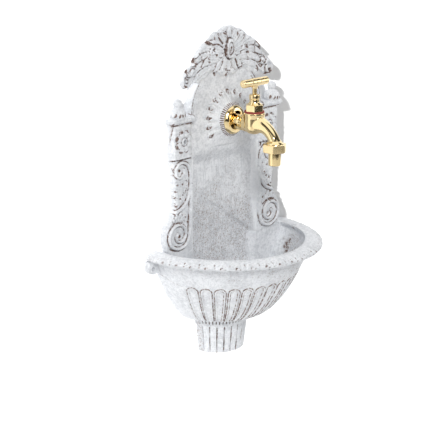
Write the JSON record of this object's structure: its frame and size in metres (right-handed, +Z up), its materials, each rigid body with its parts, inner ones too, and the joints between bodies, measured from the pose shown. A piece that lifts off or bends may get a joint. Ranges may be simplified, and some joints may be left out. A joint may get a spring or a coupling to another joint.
{
  "type": "garden wall fountain",
  "caption": "Ornate cast wall fountain: a scrolled back plate with a niche, a fluted half-oval basin on a pendant, and a brass T-handle garden tap with a hose union.",
  "frame": {"origin": "on the wall plane, on the centre line, level with the lowest edge of the pendant", "axes": "+X to the viewer's right, +Y into the wall, +Z up"},
  "size_m": [0.245, 0.13, 0.4],
  "materials": {
    "painted_casting": "cast metal under brushed off-white paint, rubbed through to dark brown in the recesses",
    "polished_brass": "polished brass, matt as cast on the underside of the tap",
    "cast_brass": "turned or cast brass, satin",
    "zinc_steel": "zinc plated",
    "black_rubber": "matt rubber",
    "red_fibre": "red vulcanised fibre",
    "packing_yarn": "greased packing yarn"
  },
  "bodies": {
    "fountain": {"back_plate": "painted_casting", "basin": "painted_casting", "joint_bolts": "zinc_steel", "sealing_washers": "black_rubber", "joint_nuts": "zinc_steel", "tap_body": "polished_brass", "wall_flange": "polished_brass", "shank_seal": "black_rubber", "back_nut": "cast_brass", "bonnet_gasket": "red_fibre", "bonnet": "polished_brass", "gland_packing": "packing_yarn", "gland_nut": "polished_brass"},
    "valve": {"valve_jumper": "cast_brass", "valve_washer": "black_rubber", "washer_screw": "cast_brass"},
    "handle": {"spindle": "cast_brass", "t_handle": "polished_brass", "handle_pin": "cast_brass"},
    "tail": {"hose_tail": "polished_brass", "hose_gasket": "black_rubber"},
    "union": {"union_nut": "polished_brass"}
  },
  "joints": [
    {"name": "valve_lift", "type": "slide", "parent": "fountain", "child": "valve", "axis": [0, 0, 1], "range_m": [0, 0.005]},
    {"name": "handle_turn", "type": "hinge", "parent": "valve", "child": "handle", "pos_m": [0, -0.057, 0.338], "axis": [0, 0, 1], "range_deg": [0, 720]},
    {"name": "union_drop", "type": "slide", "parent": "fountain", "child": "tail", "axis": [0, 0, -1], "range_m": [0, 0.0036]},
    {"name": "union_turn", "type": "hinge", "parent": "tail", "child": "union", "pos_m": [0, -0.0905, 0.266], "axis": [0, 0, -1], "range_deg": [0, 720]}
  ],
  "couplings": [
    {"joint": "valve_lift", "follows": "handle_turn", "m_per_rad": 0.00039789},
    {"joint": "union_drop", "follows": "union_turn", "m_per_rad": 0.00028648}
  ]
}
